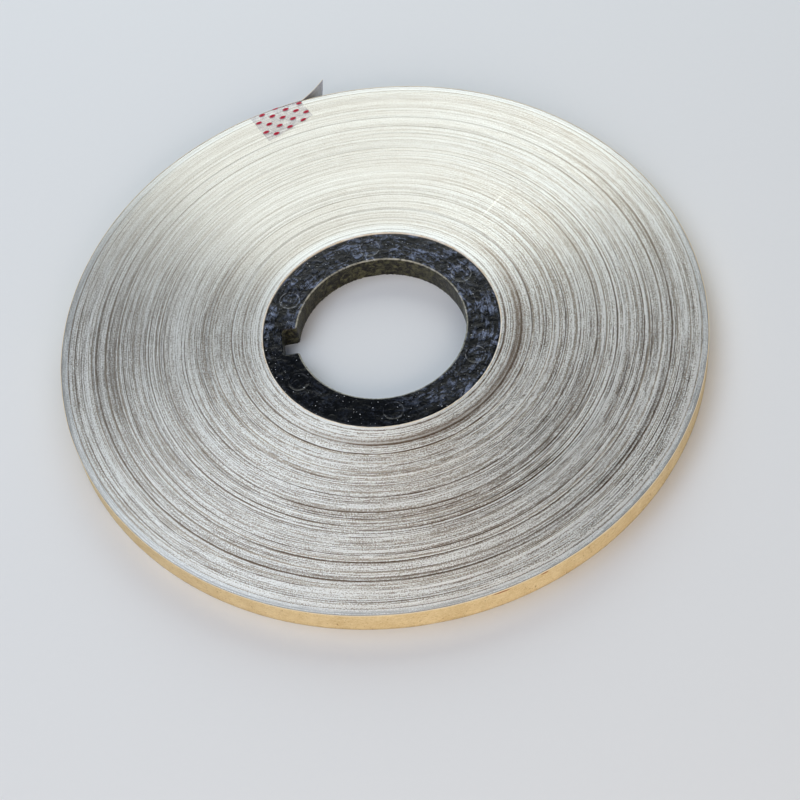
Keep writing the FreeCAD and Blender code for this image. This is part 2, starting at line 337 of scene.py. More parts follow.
def wound_edge_material(sizes):
    """Slit edges of foil and paper, wound flat: satin, with a line for every few turns.

    The foil edges are metal and the paper edges are not, so the face glints in two broad
    lobes across the rings, as a turned disc does. The rings and the dark gaps between turns are
    painted shade: strong on the side away from the sheen and faint on the sheened side.
    """
    material, tree = new_material("slit_foil_and_paper_edges")
    point, radius, direction = ring_coordinates(tree)
    fine = ring_lines(tree, radius, sizes.fine_line / MM, 0.0)
    medium = ring_lines(tree, radius, sizes.medium_line / MM, 40.0)
    broad = ring_noise(tree, direction, radius, 0.6, sizes.broad_band / MM, 2.0, 0.5, 90.0)
    wander = ring_noise(tree, direction, radius, 1.6, 0.6 * sizes.medium_line / MM, 3.0, 0.75, 10.0)
    streaks = ring_noise(tree, direction, radius, 14.0, sizes.fine_line / MM, 2.0, 0.7, 30.0)
    grain = speckle(tree, point, sizes.grain / MM, 1.0, 0.8)
    tone = total(tree, stretch(tree, fine, 0.25, 0.75, -0.75, 0.75),
                 stretch(tree, medium, 0.25, 0.75, -0.5, 0.5),
                 stretch(tree, wander, 0.3, 0.7, -0.75, 0.75),
                 stretch(tree, streaks, 0.3, 0.7, -0.5, 0.5),
                 stretch(tree, broad, 0.3, 0.7, -0.25, 0.25),
                 stretch(tree, grain, 0.25, 0.75, -1.0, 1.0))
    # Painted shade: the rings and gaps are scaled up on the side away from the sheen and down on the sheened
    # side.
    facing = facing_side(tree, direction, sizes.shadow_side)
    side_shading = stretch(tree, facing, -0.9, 0.9, sizes.sheened, sizes.loose)
    tone = math_of(tree, "MULTIPLY", tone, side_shading)
    pale = stretch(tree, radius, WRAP_RADIUS + 1.9 * MM, WRAP_RADIUS + 3.2 * MM, 0.7, 0.0)
    brown = brown_band(tree, radius, direction, sizes)
    tone = total(tree, tone, pale, math_of(tree, "MULTIPLY", brown, -0.6))
    paper = stretch(tree, tone, -0.8, 0.8)
    base = blend_colours(tree, paper, tuple(sizes.foil_edge), tuple(sizes.paper_edge))
    # Painted shadow: dark lines for the gaps between turns, stronger on the side away from the sheen.
    gap_rings = ring_lines(tree, radius, 0.8 * sizes.medium_line / MM, 70.0, 2.0)
    gap_share = total(tree, gap_rings, stretch(tree, wander, 0.3, 0.7, -0.14, 0.14),
                      stretch(tree, streaks, 0.3, 0.7, -0.05, 0.05))
    gap = math_of(tree, "MULTIPLY", stretch(tree, gap_share, 0.3, 0.4, 0.45, 0.0), side_shading)
    base = blend_colours(tree, math_of(tree, "MULTIPLY", brown, 0.5), base, tuple(sizes.brown))
    base = blend_colours(tree, gap, base, tuple(sizes.gap))
    rim = stretch(tree, total(tree, radius, stretch(tree, wander, 0.3, 0.7, -0.15 * MM, 0.15 * MM)),
                  PACK_RADIUS - 1.9 * MM, PACK_RADIUS - 1.6 * MM, 0.0, 0.45)
    base = blend_colours(tree, rim, base, tuple(sizes.rim_turns))
    base = scuffed(tree, base, radius, point)
    # Painted shade: the steep sides of proud turns show the brown liner, painted dark as if in shade.
    flat = add(tree, "VectorMath", {0: add(tree, "NewGeometry").outputs["Normal"], 1: (0, 0, 1)},
               operation="MULTIPLY").outputs[0]
    upright = add(tree, "VectorMath", {0: flat}, operation="LENGTH").outputs["Value"]
    side = stretch(tree, upright, 0.5, 0.8, 1.0, 0.0)
    base = blend_colours(tree, side, base, tuple(sizes.shaded_turn_side))
    metallic = stretch(tree, total(tree, paper, side), 0, 1, 1.0, 0.3)
    height = math_of(tree, "SUBTRACT", tone, gap)
    tilt = total(tree, stretch(tree, fine, 0.25, 0.75, -sizes.edge_tilt / 2, sizes.edge_tilt / 2),
                 stretch(tree, medium, 0.25, 0.75, sizes.edge_lean - sizes.edge_tilt,
                         sizes.edge_lean + sizes.edge_tilt))
    lean = add(tree, "VectorMath", {0: direction, "Scale": tilt}, operation="SCALE").outputs[0]
    leaning = add(tree, "VectorMath", {0: flat, 1: lean}, operation="ADD").outputs[0]
    leaning = add(tree, "VectorMath", {0: leaning}, operation="NORMALIZE").outputs[0]
    bump = add(tree, "Bump", {"Strength": 0.35, "Distance": 0.03 * MM, "Height": height, "Normal": leaning})
    tangent = add(tree, "Tangent", direction_type="RADIAL", axis="Z")
    finish_material(tree, {
        "Base Color": base, "Metallic": metallic, "Roughness": 0.4, "Anisotropic": 0.8,
        "Anisotropic Rotation": 0.25, "Normal": bump.outputs[0], "Tangent": tangent.outputs[0]})
    return material


def scuffed(tree, base, radius, point):
    """Puts the long scuff on the slit face."""
    place = add(tree, "SeparateXYZ", {0: point}).outputs
    turn = math_of(tree, "ARCTAN2", place["Y"], place["X"])
    outward = math_of(tree, "DIVIDE", math_of(tree, "SUBTRACT", radius, SCUFF_RADIUS), SCUFF_HALF_LENGTH)
    along = math_of(tree, "MULTIPLY", math_of(tree, "SUBTRACT", turn, SCUFF_SIDE),
                    SCUFF_RADIUS / SCUFF_HALF_WIDTH)
    share = stretch(tree, reach_of(tree, outward, along), 0.5, 1.1, SCUFF_STRENGTH, 0.0)
    return blend_colours(tree, share, base, linear(SCUFF_COLOUR))


def brown_band(tree, radius, direction, sizes):
    """The band of brown turns near the core: strongest on one side, and faint on the other."""
    facing = facing_side(tree, direction, sizes.brown_side)
    off_centre = math_of(tree, "ABSOLUTE", math_of(tree, "SUBTRACT", radius, BROWN_RADIUS))
    return math_of(tree, "MULTIPLY", stretch(tree, off_centre, 0.8 * MM, 2.0 * MM, 1.0, 0.0),
                   stretch(tree, facing, 0.0, 0.8, 0.1, 1.0))


def core_material(sizes):
    """Reground black plastic, moulded: glossy black where untouched, blue-grey where scuffed and where a
    sheen is painted in.
    """
    material, tree = new_material("moulded_black_plastic")
    point, radius, direction = ring_coordinates(tree)
    place = add(tree, "SeparateXYZ", {0: point}).outputs
    swirl = speckle(tree, point, 4.0, 4.0, 0.7, 2.0)
    scuffs = ring_noise(tree, direction, radius, 6.0, 1.0, 4.0, 0.8)
    lumps = speckle(tree, point, 1.5, 3.0, 0.7, 0.8)
    # Painted sheen: the blue-grey haze is partly real scuffs and partly a painted glint of the lamps on the
    # rough plastic; both fade out towards the clean side.
    scuffed_and_sheened = stretch(tree, facing_side(tree, direction, sizes.clean_unsheened_side), 0.35, 0.8, 1.0, 0.1)
    haze = total(tree, stretch(tree, swirl, 0.42, 0.64, -0.45, 0.6),
                 stretch(tree, scuffs, 0.42, 0.6, -0.35, 0.7),
                 stretch(tree, lumps, 0.38, 0.62, -0.3, 0.3))
    patches = stretch(tree, speckle(tree, point, 7.0, 2.0, 0.5), 0.42, 0.58, 0.2, 1.1)
    haze = math_of(tree, "MULTIPLY", stretch(tree, haze, 0.0, 1.2), math_of(tree, "MULTIPLY", scuffed_and_sheened, patches))
    base = blend_colours(tree, haze, tuple(sizes.black), tuple(sizes.haze))
    rim_share = math_of(tree, "MULTIPLY", scuffed_and_sheened, stretch(tree, swirl, 0.42, 0.62, 0.0, 0.4))
    rims = math_of(tree, "MULTIPLY", pin_rims(tree, radius, place), rim_share)
    base = blend_colours(tree, rims, base, tuple(sizes.dust))
    specks = stretch(tree, speckle(tree, point, 0.55, 1.0, 0.5), 0.73, 0.77)
    base = blend_colours(tree, specks, base, tuple(sizes.dust))
    upright = add(tree, "SeparateXYZ", {0: add(tree, "TexCoord").outputs["Normal"]}).outputs["Z"]
    wall = stretch(tree, math_of(tree, "ABSOLUTE", upright), 0.35, 0.7, 1.0, 0.0)
    inside = stretch(tree, radius, CORE_RADIUS - 3 * MM, CORE_RADIUS - 2 * MM, 1.0, 0.0)
    bore = math_of(tree, "MULTIPLY", wall, inside)
    # Painted highlights: lighter patches on the olive-brown bore wall.
    thin = stretch(tree, math_of(tree, "MULTIPLY", swirl, lumps), 0.2, 0.36)
    bore_mottle = blend_colours(tree, thin, tuple(sizes.bore_dark), tuple(sizes.bore_glint))
    base = blend_colours(tree, bore, base, bore_mottle)
    # Painted highlight and wear: a light line along the upper edge of the bore.
    top = stretch(tree, place["Z"], CORE_HEIGHT - 0.45 * MM, CORE_HEIGHT - 0.15 * MM)
    edge_wear_and_glint = math_of(tree, "MULTIPLY", top,
                   stretch(tree, radius, BORE_RADIUS + 0.3 * MM, BORE_RADIUS + 0.6 * MM, 1.0, 0.0))
    edge_wear_and_glint = math_of(tree, "MULTIPLY", edge_wear_and_glint, stretch(tree, lumps, 0.3, 0.6, 0.1, 0.8))
    base = blend_colours(tree, edge_wear_and_glint, base, tuple(sizes.worn_and_glinting_edge))
    rough = stretch(tree, total(tree, haze, math_of(tree, "MULTIPLY", bore, 0.5)), 0.0, 1.0, 0.14, 0.5)
    height = total(tree, stretch(tree, swirl, 0.3, 0.7), stretch(tree, lumps, 0.3, 0.7, 0, 0.6),
                   stretch(tree, scuffs, 0.3, 0.7, 0, 0.5))
    height = math_of(tree, "MULTIPLY", height, stretch(tree, scuffed_and_sheened, 0, 1, 0.3, 1.0))
    bump = add(tree, "Bump", {"Strength": 0.7, "Distance": 0.14 * MM, "Height": height})
    finish_material(tree, {"Base Color": base, "Roughness": rough, "Specular IOR Level": 0.2,
                           "Normal": bump.outputs[0]})
    return material


def pin_rims(tree, radius, place):
    """Thin rings round the ejector-pin marks, which repeat all round the core."""
    turn = math_of(tree, "ARCTAN2", place["Y"], place["X"])
    folded = add(tree, "Math", {0: turn, 1: PIN_SPACING, 2: 0.0}, operation="WRAP").outputs[0]
    folded = math_of(tree, "SUBTRACT", folded, PIN_SPACING / 2)
    across = math_of(tree, "MULTIPLY", radius, math_of(tree, "SINE", folded))
    outward = math_of(tree, "MULTIPLY", radius, math_of(tree, "COSINE", folded))
    outward = math_of(tree, "SUBTRACT", outward, PIN_CIRCLE)
    off_rim = math_of(tree, "SUBTRACT", reach_of(tree, across, outward), PIN_RADIUS)
    return stretch(tree, math_of(tree, "ABSOLUTE", off_rim), 0.05 * MM, 0.2 * MM, 1.0, 0.0)


def kraft_material(sizes):
    """Kraft release paper, calendered: tan, with short fibres along the strip and a pale cut edge that is
    partly a painted highlight.
    """
    material, tree = new_material("kraft_release_paper")
    point, _, direction = ring_coordinates(tree)
    place = add(tree, "SeparateXYZ", {0: point}).outputs
    fibres = ring_noise(tree, direction, place["Z"], 60.0, 0.5, 3.0, 0.65)
    cloud = speckle(tree, point, 5.0, 3.0, 0.6)
    grain = speckle(tree, point, 0.45, 1.0, 0.7)
    tone = total(tree, stretch(tree, fibres, 0.3, 0.7, 0, 0.4), stretch(tree, cloud, 0.3, 0.7, 0, 0.3),
                 stretch(tree, grain, 0.3, 0.7, 0, 0.3))
    base = blend_colours(tree, tone, tuple(sizes.kraft_dark), tuple(sizes.kraft_light))
    fleck = stretch(tree, speckle(tree, point, 0.6, 0.0, 0.5), 0.74, 0.8, 0, 0.7)
    base = blend_colours(tree, fleck, base, tuple(sizes.fleck))
    # Painted highlight: the pale band along the liner's top edge is partly its pale cut edge and partly a
    # painted highlight.
    cut_edge_and_highlight = stretch(tree, place["Z"], TAPE_WIDTH - 0.4 * MM, TAPE_WIDTH - 0.1 * MM, 0, 0.75)
    base = blend_colours(tree, cut_edge_and_highlight, base, tuple(sizes.cut_edge_and_highlight))
    turn = math_of(tree, "ARCTAN2", place["Y"], place["X"])
    for nick, half_length in ((sizes.long_nick, 2.6 * MM), (sizes.short_nick, 1.2 * MM)):
        along = math_of(tree, "MULTIPLY", math_of(tree, "SUBTRACT", turn, nick), ROLL_RADIUS / half_length)
        down = math_of(tree, "DIVIDE", math_of(tree, "SUBTRACT", place["Z"], TAPE_WIDTH - 0.7 * MM), 0.3 * MM)
        share = stretch(tree, reach_of(tree, along, down), 0.7, 1.3, 1.0, 0.0)
        base = blend_colours(tree, share, base, tuple(sizes.nick))
    bump = add(tree, "Bump", {"Strength": 0.6, "Distance": 0.05 * MM, "Height": tone})
    finish_material(tree, {"Base Color": base, "Roughness": 0.62, "Normal": bump.outputs[0]})
    return material


def foil_material(sizes):
    """The adhesive side of the foil: dull grey metal under a thin tacky film, with painted shade at the
    tail's root.
    """
    material, tree = new_material("foil_with_adhesive")
    point, radius, _ = ring_coordinates(tree)
    cloud = speckle(tree, point, 2.5, 3.0, 0.6)
    grain = speckle(tree, point, 0.35, 2.0, 0.7)
    tone = total(tree, stretch(tree, cloud, 0.3, 0.7, 0, 0.6), stretch(tree, grain, 0.3, 0.7, 0, 0.4))
    base = blend_colours(tree, tone, tuple(sizes.foil_dark), tuple(sizes.foil_light))
    # Painted shade: the foil darkens towards the root of the free end.
    shaded = stretch(tree, radius, ROLL_RADIUS + 0.3 * MM, ROLL_RADIUS + 4 * MM, 0.75, 0.0)
    base = blend_colours(tree, shaded, base, tuple(sizes.shaded))
    bump = add(tree, "Bump", {"Strength": 0.4, "Distance": 0.03 * MM, "Height": tone})
    finish_material(tree, {"Base Color": base, "Metallic": 0.35, "Roughness": 0.45,
                           "Normal": bump.outputs[0]})
    return material


def wrap_material(sizes):
    """Cream paper wrapped once round the core, seen edge-on."""
    material, tree = new_material("cream_core_paper")
    point = add(tree, "TexCoord").outputs["Object"]
    cloud = speckle(tree, point, 3.0, 3.0, 0.6)
    tone = stretch(tree, cloud, 0.35, 0.65)
    base = blend_colours(tree, tone, tuple(sizes.wrap_dark), tuple(sizes.wrap_light))
    bump = add(tree, "Bump", {"Strength": 0.4, "Distance": 0.05 * MM, "Height": cloud})
    finish_material(tree, {"Base Color": base, "Roughness": 0.75, "Normal": bump.outputs[0]})
    return material


def film_material(sizes):
    """Clear packing film with a red print: glossy, a little hazy where its glue shows through.

    The dots stand in a slanted grid of two steps. What is left over of each step beyond the
    nearest dot gives the way back to that dot.
    """
    material, tree = new_material("printed_clear_film")
    uv = add(tree, "TexCoord").outputs["UV"]
    first, second = (Vector(step) / MM for step in (sizes.dot_step, sizes.other_dot_step))
    area = first.x * second.y - first.y * second.x
    shares = ((second.y / area, -second.x / area, 0), (-first.y / area, first.x / area, 0))
    shifted = add(tree, "VectorMath", {0: uv, 1: (*Vector(sizes.first_dot) / MM, 0)},
                  operation="SUBTRACT").outputs[0]
    offset = None
    for share, step in zip(shares, (first, second)):
        steps = add(tree, "VectorMath", {0: shifted, 1: share}, operation="DOT_PRODUCT").outputs["Value"]
        spare = math_of(tree, "SUBTRACT", steps, math_of(tree, "ROUND", steps))
        part = add(tree, "VectorMath", {0: (step.x, step.y, 0), "Scale": spare}, operation="SCALE").outputs[0]
        offset = part if offset is None else add(tree, "VectorMath", {0: offset, 1: part}).outputs[0]
    turned = add(tree, "VectorRotate", {"Vector": offset, "Angle": sizes.dot_tilt},
                 rotation_type="Z_AXIS").outputs[0]
    scaled = add(tree, "VectorMath", {0: turned, 1: (2 * MM / sizes.dot_length, 2 * MM / sizes.dot_width, 0)},
                 operation="MULTIPLY").outputs[0]
    reach = add(tree, "VectorMath", {0: scaled}, operation="LENGTH").outputs["Value"]
    dots = stretch(tree, reach, 0.75, 1.1, 1.0, 0.0)
    point = add(tree, "TexCoord").outputs["Object"]
    smear = speckle(tree, point, 2.0, 3.0, 0.6)
    film = blend_colours(tree, smear, tuple(sizes.film), tuple(sizes.film_smear))
    base = blend_colours(tree, dots, film, tuple(sizes.dot))
    base = blend_colours(tree, stretch(tree, reach, 0.2, 0.6, 0.6, 0.0), base, tuple(sizes.dot_middle))
    haze = stretch(tree, smear, 0.4, 0.7, 0.1, 0.22)
    alpha = math_of(tree, "MAXIMUM", dots, haze)
    bump = add(tree, "Bump", {"Strength": 0.3, "Distance": 0.05 * MM, "Height": smear})
    finish_material(tree, {"Base Color": base, "Roughness": 0.3, "Specular IOR Level": 0.12, "Alpha": alpha,
                           "Normal": bump.outputs[0]})
    return material


def floor_material(sizes):
    """Pale matt card."""
    material, tree = new_material("pale_card")
    point = add(tree, "TexCoord").outputs["Object"]
    cloud = speckle(tree, point, 2.0, 3.0, 0.6)
    base = blend_colours(tree, math_of(tree, "MULTIPLY", cloud, 0.06), tuple(sizes.floor), linear("#FFFFFF"))
    finish_material(tree, {"Base Color": base, "Roughness": 0.8})
    return material


# ---------------------------------------------------------------- sizes and colours for the user

class CoreSizes(bpy.types.PropertyGroup):
    """The moulded core."""
    grid: length("Mesh grid", "Edge of the cells that the core is remeshed to", 0.3)
    swell: length("Unevenness", "How far the moulded face wanders up and down", 0.12)
    # Painted sheen: the side where the haze, part scuffs and part painted sheen, is least.
    clean_unsheened_side: angle("Clean side", "Where the plastic is least scuffed", 232.0)
    black: colour("Plastic", "Untouched black plastic", "#050608")
    # Partly scuffed plastic and partly painted sheen.
    haze: colour("Haze", "Scuffed plastic", "#78849F")
    dust: colour("Dust", "Specks of dust and paper", "#C9CDD2")
    # Olive-brown colour of the bore wall.
    bore_dark: colour("Bore, dark", "Oily film in the bore", "#0F0C08")
    # Painted highlights in the bore.
    bore_glint: colour("Bore, light", "Oily film in the bore where it is thin", "#54543F")
    # Painted highlight and wear along the bore's upper edge.
    worn_and_glinting_edge: colour("Worn edge", "Upper edge of the bore", "#CFCDBC")


class WindingSizes(bpy.types.PropertyGroup):
    """The wound turns."""
    steps: IntProperty(name="Steps", description="Flats round one turn", default=288, min=48)
    face_pitch: length("Face pitch", "Mean width of the groups of turns that stand proud together", 0.36)
    first_turns: length("First turns", "Depth of the pale turns next to the core", 2.4)
    under_pitch: length("Underside pitch", "Spacing of the points that shape the underside", 0.6)
    relief: length("Relief", "Mean rise of a group from its inner to its outer edge", 0.014)
    step_width: length("Step width", "Radial width of the drop from one group to the next", 0.02)
    fine_line: length("Fine lines", "Spacing of the finest rings of colour", 0.42)
    medium_line: length("Medium lines", "Spacing of the stronger rings", 0.9)
    broad_band: length("Broad bands", "Spacing of the broad bands", 7.0)
    grain: length("Grain", "Size of the grain that slitting leaves", 0.42)
    edge_lean: FloatProperty(name="Edge lean", description="Slope of the slit edges, which lean outwards",
                             default=0.2, min=-1, max=1)
    edge_tilt: FloatProperty(name="Edge tilt", description="How far single turns tilt from that slope",
                             default=0.2, min=0, max=1)
    # Painted shade: the side where the rings and gaps are painted strongest, away from the sheen.
    shadow_side: angle("Loose side", "Where the turns are wound most loosely", 282.0)
    # Painted shade: ring strength on the side away from the sheen.
    loose: FloatProperty(name="Loose contrast", description="Strength of the rings on the loose side",
                         default=2.3, min=0)
    # Painted shade: ring strength on the sheened side.
    sheened: FloatProperty(name="Tight contrast", description="Strength of the rings on the tight side",
                         default=0.33, min=0)
    brown_side: angle("Brown side", "Where the brown band near the core is strongest", 315.0)
    paper_edge: colour("Paper edge", "Slit edge of the paper liner", "#ECEDE9")
    foil_edge: colour("Foil edge", "Slit edge of the foil", "#A3988B")
    rim_turns: colour("Rim turns", "Bluish turns at the rim", "#DDE1E2")
    # The brown liner's own colour, darkened with painted shade.
    shaded_turn_side: colour("Turn side", "Side of a turn that stands proud of the next", "#4A3D31")
    # Painted shadow in the gaps between turns.
    gap: colour("Gap", "Dark gap between loose turns", "#5A4839")
    brown: colour("Brown turns", "Band of brown turns near the core", "#75604C")


class StripSizes(bpy.types.PropertyGroup):
    """The last turn of the two strips, and its free end."""
    steps: IntProperty(name="Steps", description="Flats round the last turn", default=480, min=48)
    tail_length: length("Tail length", "Length of the free end", 10.9)
    tail_lift: angle("Tail lift", "Angle between the rim and the free end", 29.0)
    tail_slant: length("Tail slant", "How much shorter the lower edge of the free end is cut", 2.2)
    tail_curl: length("Tail curl", "Radius that the free end curls outwards to", 41.0)
    long_nick: angle("Long nick", "Where the long nick in the liner's edge is", -76.9)
    short_nick: angle("Short nick", "Where the short nick in the liner's edge is", -69.2)
    kraft_light: colour("Kraft, light", "Light fibres of the liner", "#EDDBB0")
    kraft_dark: colour("Kraft, dark", "Dark fibres of the liner", "#BA9E66")
    fleck: colour("Fleck", "Dark flecks in the liner", "#8E6A3C")
    nick: colour("Nick", "Bruised spots at the liner's edge", "#8A4F1C")
    # Partly the pale cut edge and partly a painted highlight.
    cut_edge_and_highlight: colour("Cut edge", "Pale slit edge of the liner", "#EBDCC0")
    foil_light: colour("Foil, light", "Adhesive side of the foil", "#D2D6E4")
    foil_dark: colour("Foil, dark", "Adhesive side of the foil in its hollows", "#969BAC")
    # Painted shade near the root of the free end.
    shaded: colour("Soiled foil", "Foil soiled near the root of the free end", "#3A3340")
    wrap_light: colour("Core paper, light", "Paper round the core", "#FFFAF0")
    wrap_dark: colour("Core paper, dark", "Paper round the core in its hollows", "#E6D6BC")


class StickerSizes(bpy.types.PropertyGroup):
    """The closure sticker."""
    width: length("Width", "Width along the rim", 17.4)
    skew: angle("Skew", "How far it is stuck on askew", 11.0)
    long_side: length("Long side", "Reach over the face at the far corner", 12.6)
    short_side: length("Short side", "Reach over the face at the near corner", 8.3)
    gauge: length("Gauge", "Thickness of the film", 0.05)
    first_dot: FloatVectorProperty(name="First dot", description="Place of one dot on the film", size=2,
                                   subtype="TRANSLATION", unit="LENGTH", default=(-7.4 * MM, 11.0 * MM))
    dot_step: FloatVectorProperty(name="Dot step", description="From one dot to the next in its row", size=2,
                                  subtype="TRANSLATION", unit="LENGTH", default=(2.5 * MM, 2.0 * MM))
    other_dot_step: FloatVectorProperty(name="Row step", size=2, subtype="TRANSLATION", unit="LENGTH",
                                        description="From one dot to its neighbour in the next row",
                                        default=(2.6 * MM, -2.85 * MM))
    dot_length: length("Dot length", "Long axis of a dot", 2.3)
    dot_width: length("Dot width", "Short axis of a dot", 1.25)
    dot_tilt: angle("Dot tilt", "Slant of the dots", 7.0)
    dot: colour("Dot", "Printed dots", "#B80A34")
    dot_middle: colour("Dot, middle", "Printed dots where the ink is thickest", "#7A0014")
    film: colour("Film", "Clear film", "#F4ECF0")
    film_smear: colour("Film, smeared", "Film where its adhesive shows", "#D6D2DA")


class StageSizes(bpy.types.PropertyGroup):
    """Camera, lights and floor."""
    camera_distance: length("Camera distance", "From the camera to the point it looks at", 563.1)
    camera_elevation: angle("Camera elevation", "Height of the camera above the horizon", 55.64)
    camera_azimuth: angle("Camera azimuth", "Turn of the camera round the roll", -1.03)
    camera_roll: angle("Camera roll", "Turn of the camera about its own line of sight", 9.75)
    aim: FloatVectorProperty(name="Aim", description="Point on the upper face that the camera looks at",
                             subtype="TRANSLATION", unit="LENGTH", size=2, default=(2.35 * MM, -27.3 * MM))
    lens: FloatProperty(name="Lens", description="Focal length in millimetres", default=87.26)
    floor: colour("Floor", "Pale floor", "#E4E6E8")


# ---------------------------------------------------------------- operators

class BuildPiece:
    """What every operator here has in common."""
    bl_options = {"REGISTER", "UNDO"}

    @classmethod
    def poll(cls, context):
        return context.scene is not None


class TAPEROLL_OT_core(BuildPiece, bpy.types.Operator):
    """Moulds the core: the part's own ring, remeshed and given an uneven, scuffed face"""
    bl_idname = "taperoll.core"
    bl_label = "Core"

    def execute(self, context):
        sizes = context.scene.tape_roll_core
        bm = bmesh.new()
        bm.from_mesh(frame["nodes"]["core"].data)
        bmesh.ops.remove_doubles(bm, verts=bm.verts, dist=WELD_DISTANCE)
        bm = remeshed(bm, sizes.grid)
        for vert in bm.verts:
            if vert.normal.z > 0.5:
                vert.co.z += sizes.swell * moulded_unevenness(vert.co)
        finished(bm, "core_moulding", core_material(sizes), replaces=["core"])
        return {"FINISHED"}


def remeshed(bm, grid):
    """The same solid in an even grid of faces."""
    mesh = bpy.data.meshes.new("rough")
    bm.to_mesh(mesh)
    bm.free()
    rough = bpy.data.objects.new("rough", mesh)
    bpy.context.scene.collection.objects.link(rough)
    modifier = rough.modifiers.new("grid", "REMESH")
    modifier.mode = "VOXEL"
    modifier.voxel_size = grid
    evaluated = rough.evaluated_get(bpy.context.evaluated_depsgraph_get())
    even = bmesh.new()
    even.from_mesh(evaluated.to_mesh())
    evaluated.to_mesh_clear()
    bpy.data.objects.remove(rough)
    bpy.data.meshes.remove(mesh)
    even.normal_update()
    return even


def moulded_unevenness(point):
    """Slow sinks and fine ripples of a moulded face, between about -1 and 1."""
    slow = noise.noise(point / (6 * MM))
    fine = noise.turbulence(point / (1.6 * MM), 3, False)
    return 0.7 * slow + 0.5 * (fine - 0.5)


class TAPEROLL_OT_core_wrap(BuildPiece, bpy.types.Operator):
    """Wraps the core in one turn of cream paper with a slightly frayed edge"""
    bl_idname = "taperoll.core_wrap"
    bl_label = "Core Wrap"

    def execute(self, context):
        sizes = context.scene.tape_roll_strip
        shoulder = TAPE_WIDTH - WRAP_BEVEL
        profile = [(CORE_RADIUS, 0), (WRAP_RADIUS, 0), (WRAP_RADIUS, shoulder),
                   (WRAP_RADIUS - WRAP_BEVEL, TAPE_WIDTH), (CORE_RADIUS + WRAP_BEVEL, TAPE_WIDTH),
                   (CORE_RADIUS, shoulder)]
        bm = spun_ring(profile, WRAP_STEPS)
        for vert in bm.verts:
            if vert.co.z > TAPE_WIDTH / 2:
                vert.co.z += WRAP_FRAY * noise.noise(vert.co / (1.5 * MM))
        finished(bm, "core_wrap_paper", wrap_material(sizes), replaces=["core_wrap"])
        return {"FINISHED"}


def spiral_share(turn):
    """How far an angle lies round the last turn: 0 at the tail's root, 1 after a full turn.

    The step back from 1 to 0 is spread over the angle that the sticker covers.
    """
    share = ((turn - TAIL_ANGLE) / FULL_TURN) % 1.0
    step = 0.03
    return share if share > step else 1 - (1 - step) * smooth_step(share / step)


def wound_ring(sizes, rng, inner, outer):
    """One stretch of the pack: a closed ring of groups of turns.

    Each group rises outwards from its foot by its own amount and drops again at the next foot.
    """
    face = [(inner, TAPE_WIDTH)]
    while face[-1][0] < outer - 2 * sizes.face_pitch:
        radius = face[-1][0]
        start = TAPE_WIDTH + FOOT_SPREAD * sizes.relief * rng.normal()
        rise = sizes.relief * min(rng.exponential(), HIGHEST_RISE)
        width = sizes.face_pitch * rng.uniform(NARROWEST_GROUP, WIDEST_GROUP)
        face += [(radius + sizes.step_width, start), (radius + width, start + rise)]
    face.append((outer, TAPE_WIDTH))
    count = round((outer - inner) / sizes.under_pitch)
    under = [(inner + (outer - inner) * i / (count - 1), UNDERSIDE_SPREAD * abs(rng.normal()))
             for i in range(count)]
    bm = spun_ring(face + under[::-1], sizes.steps)
    for vert in bm.verts:
        turn = math.atan2(vert.co.y, vert.co.x)
        radius = math.hypot(vert.co.x, vert.co.y)
        share = (radius - WRAP_RADIUS) / (PACK_RADIUS - WRAP_RADIUS)
        height = vert.co.z
        if height > TAPE_WIDTH / 2:
            around = polar(SWING_ROUND, turn, radius / SWING_ACROSS)
            proud = (height - TAPE_WIDTH) * max(LEAST_RELIEF, 1 + RELIEF_SWING * noise.noise(around))
            height = TAPE_WIDTH + min(proud, HIGHEST_GROUP)
        vert.co = polar(radius - (LINER_GAUGE + FOIL_GAUGE) * share * spiral_share(turn), turn, height)
    return bm


class TAPEROLL_OT_winding(BuildPiece, bpy.types.Operator):
    """Winds the pack in three stretches, each made of groups of turns that rise and drop again"""
    bl_idname = "taperoll.winding"
    bl_label = "Wound Turns"

    def execute(self, context):
        sizes = context.scene.tape_roll_winding
        rng = np.random.default_rng(7)
        first = WRAP_RADIUS + sizes.first_turns
        middle = (first + PACK_RADIUS) / 2
        stretches = (
            ("first_turns", WRAP_RADIUS, first),
            ("middle_turns", first, middle),
            ("outer_turns", middle, PACK_RADIUS),
        )
        material = wound_edge_material(sizes)
        for name, inner, outer in stretches:
            finished(wound_ring(sizes, rng, inner, outer), name, material,
                     replaces=["wound_tape"], smooth=False)
        return {"FINISHED"}


def strip_outline(inner, outer):
    """The closed outline of a strip's section, at the tail's root angle, as a loop of edges."""
    bm = bmesh.new()
    heights = [TAPE_WIDTH * i / STRIP_ROWS for i in range(STRIP_ROWS + 1)]
    places = [(inner, z) for z in heights] + [(outer, z) for z in reversed(heights)]
    points = [bm.verts.new(polar(radius, TAIL_ANGLE, z)) for radius, z in places]
    edges = [bm.edges.new((points[i - 1], points[i])) for i in range(len(points))]
    return bm, points, edges


